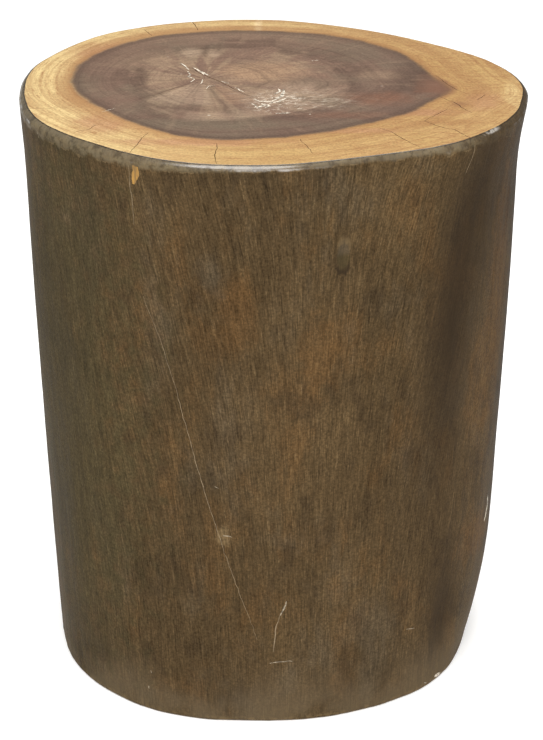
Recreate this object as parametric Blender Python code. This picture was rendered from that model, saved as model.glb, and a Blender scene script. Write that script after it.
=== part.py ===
"""Wood stump riser: one sawn and debarked length of tree trunk that stands on end.

Metres, +Z up, with the origin on the floor under the middle of the trunk. A bearing is in degrees,
counterclockwise from +X as seen from above, so the front is at 270. The trunk is a loft between the
outline of its top and the smaller outline of its foot."""

import math

import bmesh
import bpy
from mathutils import Vector

# The whole trunk
HEIGHT = 0.457
SEGMENTS = 96
LEVELS = 26
SHARP_ANGLE = 35

# Outlines of the trunk just under the rim and at the floor, as radii every 22.5 degrees from bearing 0
TOP_OUTLINE = (0.1950, 0.1885, 0.1755, 0.1795, 0.1895, 0.1960, 0.2005, 0.1970,
               0.1910, 0.1905, 0.1880, 0.1865, 0.1820, 0.1770, 0.1890, 0.1935)
FOOT_OUTLINE = (0.1725, 0.1670, 0.1600, 0.1600, 0.1650, 0.1710, 0.1745, 0.1755,
                0.1740, 0.1735, 0.1740, 0.1690, 0.1635, 0.1620, 0.1675, 0.1690)

# Outline of the dark heartwood on the top face, as radii every 22.5 degrees
HEART_OUTLINE = (0.1360, 0.1280, 0.1350, 0.1440, 0.1470, 0.1610, 0.1680, 0.1620,
                 0.1520, 0.1390, 0.1350, 0.1340, 0.1220, 0.1150, 0.1140, 0.1210)

# Rounded rim of the top, and the small worn edge at the floor
RIM_INSET = 0.0045
RIM_DROP = 0.007
RIM_STEPS = 4
FOOT_INSET = 0.0015
FOOT_RISE = 0.002

# The shallow flute that leans down the right front
FLUTE_DEPTH = 0.005
FLUTE_SPREAD = 9
FLUTE_BEARING = 310
FLUTE_LEAN = 14
FLUTE_MIDDLE = 0.5
FLUTE_REACH = 0.45

# How the trunk flares out to its rim, a little all round and most on the right
FLARE = 0.0015
FLARE_RIGHT = 0.006
FLARE_BEARING = 345
FLARE_SPREAD = 32
FLARE_HEIGHT = 0.075

# Where the foot draws in, a little all round and most on the right, and the hollow in front of that
TUCK = 0.0015
TUCK_RIGHT = 0.0125
TUCK_BEARING = 5
TUCK_SPREAD = 38
TUCK_HEIGHT = 0.11
HOLLOW_DEPTH = 0.004
HOLLOW_BEARING = 322
HOLLOW_SPREAD = 8
HOLLOW_HEIGHT = 0.055
HOLLOW_REACH = 0.05

# The knot under the rim, right of the front
KNOT_BEARING = 286
KNOT_HEIGHT = 0.393
KNOT_RISE = 0.002
KNOT_SPREAD = 0.014

# Long faint waves that a drawknife leaves round the side: how many go round, how far they turn on the
# way up and where they start, in radians
WAVE = 0.0007
WAVES = ((5, 4, 0), (9, -7, 1))

# Drying checks in the top face, each as places on it and the width of its mouth
CHECK_DEPTH = 0.008
CHECKS = {
    "heart": (0.0018, ((-0.076, 0.064), (-0.061, 0.048), (-0.048, 0.022), (-0.031, -0.004),
                       (-0.018, -0.025))),
    "left": (0.0014, ((-0.184, -0.054), (-0.157, -0.050), (-0.143, -0.048))),
    "left_back": (0.0014, ((-0.186, 0.074), (-0.146, 0.056))),
    "left_front": (0.0014, ((-0.101, -0.162), (-0.095, -0.125), (-0.090, -0.108))),
    "front": (0.0014, ((0.028, -0.166), (0.018, -0.122))),
    "right_front": (0.0016, ((0.148, -0.134), (0.126, -0.100), (0.110, -0.083), (0.130, -0.054))),
    "right": (0.0014, ((0.151, -0.068), (0.137, -0.047), (0.123, -0.025))),
}

# Finishes, each as a linear colour with alpha, a roughness and the weight of its lacquer, in slot order
FINISHES = {
    "stained_side": ((0.115, 0.072, 0.035, 1), 0.5, 0.1),
    "polished_sapwood": ((0.74, 0.48, 0.21, 1), 0.3, 0.4),
    "polished_heartwood": ((0.24, 0.165, 0.12, 1), 0.3, 0.4),
    "sawn_foot": ((0.38, 0.26, 0.15, 1), 0.8, 0),
}
SIDE, SAPWOOD, HEARTWOOD, FOOT = range(len(FINISHES))


def clear_scene():
    for thing in list(bpy.data.objects):
        bpy.data.objects.remove(thing)


def new_collection(name):
    collection = bpy.data.collections.new(name)
    bpy.context.scene.collection.children.link(collection)
    return collection


def wood_material(name, finish):
    colour, roughness, coat = finish
    material = bpy.data.materials.new(name)
    material.use_nodes = True
    shader = material.node_tree.nodes["Principled BSDF"]
    shader.inputs["Base Color"].default_value = colour
    shader.inputs["Roughness"].default_value = roughness
    shader.inputs["Metallic"].default_value = 0
    shader.inputs["Coat Weight"].default_value = coat
    material.diffuse_color = colour
    return material


def outline_radius(radii, bearing):
    """Radius at a bearing, on a smooth closed curve through evenly spaced radii."""
    place = (bearing % 360) * len(radii) / 360
    first = int(place)
    t = place - first
    a, b, c, d = (radii[(first + offset) % len(radii)] for offset in (-1, 0, 1, 2))
    return b + 0.5 * t * (c - a + t * (2 * a - 5 * b + 4 * c - d + t * (3 * (b - c) + d - a)))


def hump(distance, spread):
    """A smooth rise to 1 where the distance is 0."""
    return math.exp(-((distance / spread) ** 2))


def turn(bearing, other):
    """How far one bearing lies from another, from -180 to 180."""
    return (bearing - other + 180) % 360 - 180


def flute(bearing, up):
    """Depth of the flute, whose line leans further round towards the rim."""
    middle = FLUTE_BEARING + FLUTE_LEAN * up**4
    return FLUTE_DEPTH * hump(up - FLUTE_MIDDLE, FLUTE_REACH) * hump(turn(bearing, middle), FLUTE_SPREAD)


def flare(bearing, z):
    """How far the trunk lies inside the straight line from its foot to its rim."""
    below_rim = 1 - max(0, 1 - (HEIGHT - z) / FLARE_HEIGHT) ** 2
    most = FLARE + FLARE_RIGHT * hump(turn(bearing, FLARE_BEARING), FLARE_SPREAD)
    return most * min(z / HEIGHT, below_rim)


def foot_shape(bearing, z):
    """How far the foot draws in above the floor."""
    near_floor = max(0, 1 - z / TUCK_HEIGHT) ** 2
    tuck = TUCK + TUCK_RIGHT * hump(turn(bearing, TUCK_BEARING), TUCK_SPREAD)
    hollow = HOLLOW_DEPTH * hump(turn(bearing, HOLLOW_BEARING), HOLLOW_SPREAD)
    return tuck * near_floor + hollow * hump(z - HOLLOW_HEIGHT, HOLLOW_REACH)


def knot(bearing, z, radius):
    sideways = math.radians(turn(bearing, KNOT_BEARING)) * radius
    return KNOT_RISE * hump(math.hypot(sideways, z - KNOT_HEIGHT), KNOT_SPREAD)


def waves(bearing, up):
    angle = math.radians(bearing)
    return WAVE * sum(math.sin(count * angle + rise * up + start) for count, rise, start in WAVES)


def trunk_radius(bearing, z):
    """Radius of the side at a bearing and a height, without the rounded rim."""
    up = z / HEIGHT
    radius = up * outline_radius(TOP_OUTLINE, bearing) + (1 - up) * outline_radius(FOOT_OUTLINE, bearing)
    radius += waves(bearing, up) - flare(bearing, z) - flute(bearing, up) - foot_shape(bearing, z)
    return radius + knot(bearing, z, radius)


def level_rings():
    """Height and inset of each ring of the loft, from the floor to the top face."""
    rings = [(0, FOOT_INSET), (FOOT_RISE, 0)]
    side = HEIGHT - RIM_DROP - FOOT_RISE
    rings += [(FOOT_RISE + side * level / LEVELS, 0) for level in range(1, LEVELS + 1)]
    for step in range(1, RIM_STEPS + 1):
        angle = math.pi / 2 * step / RIM_STEPS
        rings.append((HEIGHT - RIM_DROP * (1 - math.sin(angle)), RIM_INSET * (1 - math.cos(angle))))
    return rings


def bearings():
    return [360 * segment / SEGMENTS for segment in range(SEGMENTS)]


def point_at(bearing, radius, z):
    angle = math.radians(bearing)
    return Vector((radius * math.cos(angle), radius * math.sin(angle), z))


def trunk_middle():
    """Middle of the trunk's widest outline, which goes over the origin."""
    shoulder = HEIGHT - RIM_DROP
    points = [point_at(bearing, trunk_radius(bearing, shoulder), 0) for bearing in bearings()]
    across = [point.x for point in points]
    deep = [point.y for point in points]
    return Vector(((min(across) + max(across)) / 2, (min(deep) + max(deep)) / 2, 0))


def make_trunk(collection, materials):
    """The loft from the floor to the rim, closed by the sawn foot and by the two-coloured top face."""
    shape = bmesh.new()
    middle = trunk_middle()
    rings = []
    for z, inset in level_rings():
        places = [point_at(bearing, trunk_radius(bearing, z) - inset, z) for bearing in bearings()]
        rings.append([shape.verts.new(place - middle) for place in places])
    heart = [point_at(bearing, outline_radius(HEART_OUTLINE, bearing), HEIGHT) for bearing in bearings()]
    rings.append([shape.verts.new(place - middle) for place in heart])
    top_ring = len(rings) - 2
    for level, (below, above) in enumerate(zip(rings, rings[1:])):
        for segment in range(SEGMENTS):
            after = (segment + 1) % SEGMENTS
            face = shape.faces.new((below[segment], below[after], above[after], above[segment]))
            face.material_index = SAPWOOD if level == top_ring else SIDE
            face.smooth = level < top_ring
    heart_face = shape.faces.new(rings[-1])
    heart_face.material_index = HEARTWOOD
    foot_face = shape.faces.new(reversed(rings[0]))
    foot_face.material_index = FOOT
    mesh = bpy.data.meshes.new("stump")
    shape.to_mesh(mesh)
    shape.free()
    for material in materials:
        mesh.materials.append(material)
    mesh.set_sharp_from_angle(angle=math.radians(SHARP_ANGLE))
    trunk = bpy.data.objects.new("stump", mesh)
    collection.objects.link(trunk)
    return trunk


def check_outline(places, width):
    """Outline of a drying check: widest in its middle and pointed at both ends."""
    one_side = []
    other_side = []
    for index in range(1, len(places) - 1):
        along = (places[index + 1] - places[index - 1]).normalized()
        across = Vector((-along.y, along.x, 0)) * width / 2
        one_side.append(places[index] + across)
        other_side.append(places[index] - across)
    return [places[0]] + one_side + [places[-1]] + other_side[::-1]


def with_midpoint(places):
    """A check of two places gets one halfway, so that it has a width there."""
    if len(places) > 2:
        return places
    return [places[0], (places[0] + places[1]) / 2, places[1]]


def cut_check(trunk, collection, name, places, width):
    """A thin blade, upright through the top face, that cuts one drying check."""
    middle = trunk_middle()
    above = HEIGHT + CHECK_DEPTH
    line = with_midpoint([Vector((x, y, above)) - middle for x, y in places])
    blade = bmesh.new()
    face = blade.faces.new([blade.verts.new(place) for place in check_outline(line, width)])
    grown = bmesh.ops.extrude_face_region(blade, geom=[face])
    lower = [part for part in grown["geom"] if isinstance(part, bmesh.types.BMVert)]
    bmesh.ops.translate(blade, verts=lower, vec=(0, 0, -2 * CHECK_DEPTH))
    bmesh.ops.recalc_face_normals(blade, faces=blade.faces)
    mesh = bpy.data.meshes.new("check_" + name)
    blade.to_mesh(mesh)
    blade.free()
    cutter = bpy.data.objects.new("check_" + name, mesh)
    cutter.hide_render = True
    cutter.display_type = "WIRE"
    collection.objects.link(cutter)
    cut = trunk.modifiers.new("check_" + name, "BOOLEAN")
    cut.operation = "DIFFERENCE"
    cut.object = cutter


def main():
    clear_scene()
    parts = new_collection("wood_stump_riser")
    cutters = new_collection("cutters")
    materials = [wood_material(name, finish) for name, finish in FINISHES.items()]
    trunk = make_trunk(parts, materials)
    for name, (width, places) in CHECKS.items():
        cut_check(trunk, cutters, name, places, width)


main()
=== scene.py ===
"""Looks of the wood stump riser: a debarked length of trunk with a stained side and a polished top.

Metres, +Z up. A bearing is in degrees, counterclockwise from +X as seen from above, so the front is at
270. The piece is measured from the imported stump, and then gets its grain, drying checks and finishes."""

import math
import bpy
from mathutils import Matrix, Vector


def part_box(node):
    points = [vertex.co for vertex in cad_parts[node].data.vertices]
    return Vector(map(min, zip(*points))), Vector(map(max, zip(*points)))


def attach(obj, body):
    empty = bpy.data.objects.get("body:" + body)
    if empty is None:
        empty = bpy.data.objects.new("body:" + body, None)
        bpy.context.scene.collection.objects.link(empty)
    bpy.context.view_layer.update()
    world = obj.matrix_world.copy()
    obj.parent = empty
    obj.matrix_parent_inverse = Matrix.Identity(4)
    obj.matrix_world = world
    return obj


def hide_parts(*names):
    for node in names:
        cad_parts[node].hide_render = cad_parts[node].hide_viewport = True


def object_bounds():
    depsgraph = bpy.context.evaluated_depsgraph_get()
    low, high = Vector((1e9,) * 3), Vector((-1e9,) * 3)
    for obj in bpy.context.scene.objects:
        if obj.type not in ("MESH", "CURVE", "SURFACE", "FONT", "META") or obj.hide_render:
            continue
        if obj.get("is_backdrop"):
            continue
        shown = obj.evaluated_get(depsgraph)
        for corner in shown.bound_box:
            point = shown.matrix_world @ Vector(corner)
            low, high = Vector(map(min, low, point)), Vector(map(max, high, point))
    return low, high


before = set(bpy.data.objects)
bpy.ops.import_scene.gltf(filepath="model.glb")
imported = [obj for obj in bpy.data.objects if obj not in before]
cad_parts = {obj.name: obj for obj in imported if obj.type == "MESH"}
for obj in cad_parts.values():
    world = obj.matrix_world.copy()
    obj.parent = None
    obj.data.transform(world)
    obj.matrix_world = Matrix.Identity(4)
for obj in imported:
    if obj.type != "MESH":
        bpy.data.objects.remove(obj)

from types import SimpleNamespace

import bmesh
import bpy
import numpy as np
from mathutils import Vector, noise
from mathutils.bvhtree import BVHTree

bl_info = {
    "name": "Wood stump riser",
    "version": (1, 0, 0),
    "blender": (4, 5, 0),
    "location": "3D View > Sidebar > Stump riser",
    "description": "Builds a polished tree stump riser round its measured trunk, with a plain studio stage",
    "category": "Add Mesh",
}

NODE = "stump"
LOWEST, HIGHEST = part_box(NODE)
HEIGHT = HIGHEST.z
PIECE = "stump_wood"

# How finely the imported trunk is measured, and how fine the piece is
MEASURED_BEARINGS = 96
MEASURED_LEVELS = 34
SEGMENTS = 360
LEVELS = 118
RIM_STEPS = 8
RIM_FLAT = 0.45
FOOT_STEPS = 4
FAR = 1.0
MEAN_RADIUS = 0.18
FOOT_SHARE = 0.88
SHARP_ANGLE = 40

# The pith, on the top, and the dark heartwood round it as radii every 22.5 degrees, in metres
PITH = Vector((-0.0526, 0.019, 0))
HEART_OUTLINE = (0.173, 0.1680, 0.1565, 0.140, 0.129, 0.1205, 0.111, 0.1045,
                 0.1015, 0.1015, 0.1045, 0.120, 0.1435, 0.153, 0.162, 0.177)
HEART_TIP = 0.014
HEART_TIP_BEARING = 352
HEART_TIP_SPREAD = 8
# The paler middle of the heartwood, as radii round the pith in the same way
INNER_OUTLINE = (0.1025, 0.1034, 0.1012, 0.0947, 0.0870, 0.0760, 0.0669, 0.0610,
                 0.0552, 0.0562, 0.0640, 0.0913, 0.1022, 0.1028, 0.1087, 0.1103)
SAP_RINGS = 9
HEART_RINGS = 16
EDGE_RING = 0.0012
HEART_SHARE = 0.72
SAPWOOD = 0.045

# Lean of the grain round the side: how far it runs sideways for each metre up, at a few bearings
GRAIN_LEANS = ((90, 0), (150, -0.05), (200, -0.12), (240, -0.22), (262, -0.14), (280, 0), (305, 0.22),
               (325, 0.16), (360, 0.05), (400, -0.04), (450, 0))
LEAN_FULL_HEIGHT = 0.25
LEAN_BALANCE = 0.2
KNOT = (286.3, 0.3848)
KNOT_SIZE = 0.010
KNOT_HALVES = (0.0062, 0.0138, 1)
KNOT_RING = 0.0005
KNOT_PIT = 0.0009
# Waves, ridges and fibres of the side: how often they come across and up in a metre, and a shift up
WAVES = (32, 7, 0)
RIDGES = (120, 12, 9)
FIBRES = (300, 26, 40)

# Shade in the flute: its bearing at the foot, its turn up to the rim, its spread, and where it is deepest
FLUTE_BEARING, FLUTE_TURN, FLUTE_SPREAD = 316.6, 10.3, 8.5
FLUTE_MIDDLE, FLUTE_REACH = 0.70, 0.36
# Other shaded hollows: strength, bearing and its spread in degrees, height and its spread in metres
HOLLOWS = ((0.8, 321, 6, 0.06, 0.045), (0.6, 338, 12, 0.40, 0.06))

# Drying checks in the top, in millimetres: width of the mouth, then places from end to end
CHECKS = (
    (0.8, ((-72, 61), (-69, 51), (-62, 46), (-57, 35), (-48, 21), (-40, 11), (-31, -4), (-27, -11),
           (-18, -25))),
    (0.3, ((-196, 75), (-172, 68), (-160, 61), (-146, 55))),
    (0.3, ((-190, -56), (-167, -54), (-157, -51), (-151, -54), (-145, -50))),
    (0.5, ((-143, -112), (-140, -107), (-133, -104), (-129, -94), (-124, -91))),
    (0.5, ((-101, -157), (-96, -134), (-94, -124), (-90, -111))),
    (0.55, ((-40, -180), (-41, -160), (-40, -149), (-40, -134))),
    (0.55, ((19, -125), (24, -142), (28, -157))),
    (0.6, ((77, -100), (86, -111), (96, -131), (104, -144))),
    (0.65, ((116, -75), (110, -84), (118, -94), (125, -101), (131, -104), (140, -122), (142, -131))),
    (0.55, ((129, -55), (124, -63), (116, -75))),
    (0.65, ((125, -27), (129, -32), (134, -39), (138, -47), (139, -52), (146, -65))),
    (0.5, ((152, -35), (159, -21))),
    (0.5, ((125, 27), (131, 8), (139, -10), (146, -20))),
    (0.6, ((-68, 190), (-66, 174), (-63, 166), (-61, 151))),
    (0.5, ((-104, 153), (-97, 134))),
    (0.3, ((-60, 5), (-77, -8), (-92, -25))),
)

# Pale scratches and old wax on the top, in millimetres: width, then places from end to end
TOP_SCRATCH_DEPTH = 0.2
TOP_SCRATCHES = (
    (1.5, ((-72, 60), (-68, 50), (-65, 43))),
    (1.5, ((-61, 48), (-56, 37), (-53, 30))),
    (1.4, ((-55, 38), (-50, 28))),
    (1.1, ((-66, 39), (-63, 29), (-65, 25), (-60, 17), (-63, 11))),
    (1.0, ((-54, 17), (-55, 7))),
    (1.1, ((-39, 13), (-34, 7))),
    (1.1, ((-29, -3), (-25, -10), (-22, -14))),
    (0.7, ((-50, -6), (-49, 0), (-43, 3))),
    (0.4, ((-126, -63), (-116, -53))),
    (1.2, ((30, 66), (35, 68))),
    (2.0, ((-14, -33), (-10, -37), (-2, -38), (4, -30))),
    (2.7, ((2, -34), (6, -24), (8, -16), (8, -8))),
    (1.8, ((1, -20), (6, -12), (4, -6))),
    (2.0, ((-3, -42), (4, -38), (10, -30))),
    (1.3, ((7, -28), (16, -30), (24, -30))),
    (2.8, ((-12, -54), (-8, -48), (-3, -45))),
    (2.2, ((-9, -43), (-3, -48), (-6, -53))),
    (2.2, ((2, -66), (7, -66), (13, -65))),
    (1.4, ((-16, -43), (-12, -48), (-13, -52))),
    (1.6, ((18, -56), (22, -55))),
    (1.2, ((26, -68), (28, -68))),
    (1.2, ((-2, -30), (9, -24))),
)

# Marks on the side: width and depth in millimetres, then bearing in degrees and height in millimetres
# from end to end. The worn lines share one depth
WORN_DEPTH = 0.15
WORN_LINES = (
    (0.8, ((272, 97), (270.6, 82), (270, 63))),
    (0.45, ((240, 351), (244, 317), (248, 269), (252, 216), (256, 172), (260, 130), (266, 74))),
    (0.5, ((237.8, 450), (237.7, 438), (238.1, 424), (238.4, 404))),
    (0.5, ((319.1, 455), (319.4, 448), (319.0, 443), (318.2, 437), (317.4, 430))),
    (0.5, ((96, 330), (99, 240), (101, 170))),
    (0.6, ((150, 210), (151, 190))),
)
SIDE_SCRATCHES = (
    (1.1, 0.15, ((273.4, 107), (272.8, 101), (271.9, 95))),
    (0.7, 0.15, ((269, 53), (273, 54), (275, 54))),
    (0.8, 0.15, ((256, 204), (257, 203))),
    (0.8, 0.15, ((258, 164), (260, 163))),
    (0.6, 0.15, ((308, 62), (311, 60))),
    (0.8, 0.15, ((207, 449), (208, 446))),
    (0.7, 0.15, ((40, 90), (42, 70))),
    (3.4, 0.25, ((345.5, 134), (346.5, 124), (344, 113))),
    (3.0, 0.8, ((324, 3), (321, 4))),
    (2.4, 0.7, ((317, 3), (316, 5))),
    (1.4, 0.3, ((238, 36), (238, 34))),
    (1.3, 0.3, ((237, 21), (237, 19))),
)
BARE_CHIPS = (
    (4.4, 0.5, ((239.9, 450), (239.7, 445), (239.5, 440))),
    (4.2, 0.5, ((239.0, 450), (239.1, 442), (238.7, 436))),
)
LINE_STEP = 0.004
LINE_RAGGED = 0.0009
# Parts of the noise that push a ragged line along x, y and z
LINE_PARTS = (0.5, 17.3, 31.7)


# Sizes and colours that a maker may want to change

def length_property(name, description, length):
    return bpy.props.FloatProperty(name=name, description=description, default=length, min=0, unit="LENGTH")


class StumpSizes(bpy.types.PropertyGroup):
    rim_inset: length_property("Rim inset", "How far the rounded rim draws in", 0.0042)
    rim_drop: length_property("Rim drop", "How far down the rounded rim starts", 0.0043)
    foot_inset: length_property("Foot inset", "How far the worn foot edge draws in", 0.0015)
    foot_rise: length_property("Foot rise", "How high the worn foot edge reaches", 0.002)
    hewn_depth: length_property("Hewn waves", "Depth of the hewn waves on the side", 0.0007)
    grain_depth: length_property("Raised grain", "Depth of the raised grain on the side", 0.0003)
    check_depth: length_property("Check depth", "Depth of the drying checks in the top", 0.006)
    ring_count: bpy.props.FloatProperty(
        name="Growth rings", description="Rings from the pith to the edge", default=46, min=1)


def tint(name, description, colour):
    return bpy.props.FloatVectorProperty(
        name=name, description=description, default=colour, size=3, min=0, max=1, subtype="COLOR")


class StumpColours(bpy.types.PropertyGroup):
    stain: tint("Stain", "Main colour of the stained side", (0.0622, 0.0398, 0.0183))
    # Dark stain, and also the colour of the painted shade in the hollows, at the far right and under the
    # knot's ring
    dark_stain_and_shade: tint("Dark stain", "Stain that has pooled in the grain", (0.0238, 0.0158, 0.0090))
    # Worn stain, and also the painted highlight over the knot's ring
    worn_stain_and_highlight: tint("Worn stain", "Raised grain where the stain is thin", (0.1628, 0.1135, 0.0577))
    stain_rust: tint("Rust stain", "Warm patches of the side", (0.0927, 0.0495, 0.0185))
    stain_grey: tint("Grey stain", "Cool, dusty patches of the side", (0.0756, 0.0594, 0.0387))
    # Olive stain, and also the painted shade of the left side
    olive_stain_and_shade: tint("Olive stain", "Cooler stain of the left side", (0.0458, 0.0361, 0.0167))
    # Also lays painted bounce light from the pale floor low on the side
    dust: tint("Dust", "Pale, dusty wood low on the side", (0.1125, 0.0828, 0.0495))
    worn: tint("Worn line", "Thin lines where the stain is rubbed through", (0.215, 0.155, 0.085))
    # Greyed lacquer of the rim, whose grey also paints the sheen along the rim
    rim: tint("Rim", "Greyed lacquer of the rim", (0.150, 0.120, 0.074))
    bare: tint("Bare chip", "Bare wood under chipped stain", (0.34, 0.175, 0.028))
    sap_outer: tint("Outer sapwood", "Young sapwood at the edge", (0.600, 0.458, 0.218))
    sap_inner: tint("Inner sapwood", "Sapwood next to the heart", (0.44, 0.275, 0.125))
    # Deeper sapwood of the lobe, and also the painted shade on the right of the top
    sap_right_and_shade: tint("Right sapwood", "Deeper sapwood of the lobe", (0.372, 0.228, 0.084))
    sap_rose: tint("Rosy sapwood", "Pinkish brown patches of the sapwood", (0.38, 0.205, 0.110))
    sap_line: tint("Ring line", "Growth rings in the sapwood", (0.270, 0.135, 0.055))
    heart_dark: tint("Outer heartwood", "Dark outer heartwood", (0.143, 0.090, 0.064))
    heart_line: tint("Heart line", "Dark rings and rays of the heartwood", (0.066, 0.040, 0.029))
    heart_pale: tint("Inner heartwood", "Paler middle of the heartwood", (0.275, 0.186, 0.120))
    heart_light: tint("Light heartwood", "Palest fans of the heartwood", (0.352, 0.251, 0.172))
    heart_red: tint("Red heartwood", "Reddish parts of the heartwood", (0.167, 0.079, 0.048))
    heart_rose: tint("Rosy heartwood", "Warm wedges of the heartwood", (0.190, 0.115, 0.080))
    heart_warm: tint("Warm heartwood", "Orange brown middle of the heartwood", (0.32, 0.20, 0.12))
    heart_olive: tint("Olive heartwood", "Cool, greyed parts of the heartwood", (0.150, 0.116, 0.078))
    filler: tint("Filler", "Pale filler in the check at the back", (0.70, 0.55, 0.31))
    scratch: tint("Scratch", "Pale scratches and wax", (0.71, 0.63, 0.51))
    scratch_dull: tint("Dull scratch", "Greyed scratches of the side", (0.34, 0.275, 0.185))
    scuff: tint("Scuff", "Greyed scuff on the rim", (0.62, 0.59, 0.54))
    # Painted shade deep in the drying checks
    check_bottom_shade: tint("Deep check", "Dark bottom of the drying checks", (0.02, 0.013, 0.009))
    sawn: tint("Sawn foot", "Raw sawn wood under the stump", (0.36, 0.25, 0.14))


# Shape

def spline_weights(places, count, closed):
    """Weights, a row for each place, that draw a smooth curve through evenly spaced values."""
    places = np.asarray(places, float)
    first = np.floor(places).astype(int)
    t = places - first
    shares = (-t + 2 * t**2 - t**3, 2 - 5 * t**2 + 3 * t**3, t + 4 * t**2 - 3 * t**3, t**3 - t**2)
    weights = np.zeros((len(places), count))
    for offset, share in zip((-1, 0, 1, 2), shares):
        index = (first + offset) % count if closed else np.clip(first + offset, 0, count - 1)
        np.add.at(weights, (np.arange(len(places)), index), share / 2)
    return weights


def closed_curve(radii, bearings):
    """Radii at these bearings, in degrees, on a smooth closed curve through evenly spaced radii."""
    places = (np.asarray(bearings, float) % 360) * len(radii) / 360
    return spline_weights(places, len(radii), True) @ np.asarray(radii)


def hump(distance, spread):
    return np.exp(-((distance / spread) ** 2))


def turn(bearing, other):
    """How far one bearing lies from another, from -180 to 180."""
    return (bearing - other + 180) % 360 - 180


def bearing_of(places):
    return np.degrees(np.arctan2(places[:, 1], places[:, 0]))


def surface(mesh):
    return BVHTree.FromPolygons([v.co for v in mesh.vertices], [p.vertices for p in mesh.polygons])


def measured_trunk(levels, bearings):
    """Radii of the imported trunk, a row for each height and a column for each bearing."""
    tree = surface(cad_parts[NODE].data)
    radii = np.empty((len(levels), len(bearings)))
    for column, bearing in enumerate(np.radians(bearings)):
        outward = Vector((math.cos(bearing), math.sin(bearing), 0))
        for row, z in enumerate(levels):
            hit = tree.ray_cast(outward * FAR + Vector((0, 0, z)), -outward)[0]
            radii[row, column] = hit.xy.length
    return radii


def grain_angle(bearing, z):
    """Bearing, in radians, that a fibre has once its lean and its bend round the knot are taken out."""
    from_back = (bearing - GRAIN_LEANS[0][0]) % 360 + GRAIN_LEANS[0][0]
    lean = np.interp(from_back, *zip(*GRAIN_LEANS))
    below = np.minimum(z, LEAN_FULL_HEIGHT)
    run = below**2 / (2 * LEAN_FULL_HEIGHT) + np.maximum(z - LEAN_FULL_HEIGHT, 0) - LEAN_BALANCE
    sideways = np.radians(turn(bearing, KNOT[0])) * MEAN_RADIUS
    away = np.hypot(sideways, (z - KNOT[1]) / 2)
    bend = sideways * 0.5 * hump(away, KNOT_SIZE)
    return np.radians(bearing) - (lean * run - bend) / MEAN_RADIUS


def grain_place(bearing, z):
    """Place of a fibre on an upright cylinder, where the grain runs straight up."""
    angle = grain_angle(bearing, z)
    return np.stack([MEAN_RADIUS * np.cos(angle), MEAN_RADIUS * np.sin(angle), z], axis=-1)


def side_relief(bearing, z, sizes):
    """Hewn waves and raised grain, in metres, a value for each place."""
    places = grain_place(bearing, z)
    flat = places.reshape(-1, 3)
    wave, ridge, fine = (
        np.array([noise.noise(Vector((x * across, y * across, up * along + part))) for x, y, up in flat])
        for across, along, part in (WAVES, RIDGES, FIBRES))
    relief = sizes.hewn_depth * wave + sizes.grain_depth * (0.7 * ridge + 0.5 * fine)
    return relief.reshape(bearing.shape)


def knot_relief(bearing, z):
    """The knot's ring and the small pit in its middle."""
    away = np.hypot(np.radians(turn(bearing, KNOT[0])) * MEAN_RADIUS, (z - KNOT[1]) / 2.2)
    return KNOT_RING * hump(away - 0.7 * KNOT_SIZE, 0.003) - KNOT_PIT * hump(away, 0.45 * KNOT_SIZE)


def trunk_rings(sizes):
    """Rings of places from the foot to the rim, each an array of x, y and z."""
    side_low = sizes.foot_rise
    side_high = HEIGHT - sizes.rim_drop
    measured_levels = np.linspace(side_low, side_high, MEASURED_LEVELS)
    measured_bearings = np.arange(MEASURED_BEARINGS) * 360 / MEASURED_BEARINGS
    measured = measured_trunk(measured_levels, measured_bearings)
    bearings = np.arange(SEGMENTS) * 360 / SEGMENTS
    levels = np.linspace(side_low, side_high, LEVELS)
    along = spline_weights(np.linspace(0, MEASURED_LEVELS - 1, LEVELS), MEASURED_LEVELS, False)
    around = spline_weights(np.arange(SEGMENTS) * MEASURED_BEARINGS / SEGMENTS, MEASURED_BEARINGS, True)
    radii = along @ measured @ around.T
    bearing, z = np.meshgrid(bearings, levels)
    radii += side_relief(bearing, z, sizes) + knot_relief(bearing, z)
    rows = []
    for step in range(FOOT_STEPS, 0, -1):
        angle = math.pi / 2 * step / FOOT_STEPS
        rows.append((radii[0] - sizes.foot_inset * (1 - math.cos(angle)), side_low * (1 - math.sin(angle))))
    rows += [(radii[row], levels[row]) for row in range(LEVELS)]
    for step in range(1, RIM_STEPS + 1):
        angle = math.pi / 2 * step / RIM_STEPS
        inward = RIM_FLAT * step / RIM_STEPS + (1 - RIM_FLAT) * (1 - math.cos(angle))
        upward = RIM_FLAT * step / RIM_STEPS + (1 - RIM_FLAT) * math.sin(angle)
        rows.append((radii[-1] - sizes.rim_inset * inward, side_high + sizes.rim_drop * upward))
    angles = np.radians(bearings)
    return [np.stack([r * np.cos(angles), r * np.sin(angles), np.full(SEGMENTS, z)], axis=-1)
            for r, z in rows]


def heart_radius(bearing):
    """Radius of the heartwood round the pith, with its pointed tip on the right."""
    tip = HEART_TIP * hump(turn(bearing, HEART_TIP_BEARING), HEART_TIP_SPREAD)
    return closed_curve(HEART_OUTLINE, bearing) + tip


def cap_shares(edge, heart):
    """Shares of the way from the pith to the edge for the rings of a cap, from the outside in."""
    shares = [1 - EDGE_RING / edge]
    shares += [heart / edge + (1 - heart / edge) * ring / SAP_RINGS for ring in range(SAP_RINGS - 1, -1, -1)]
    shares += [heart / edge * ring / HEART_RINGS for ring in range(HEART_RINGS - 1, 0, -1)]
    return shares


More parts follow.
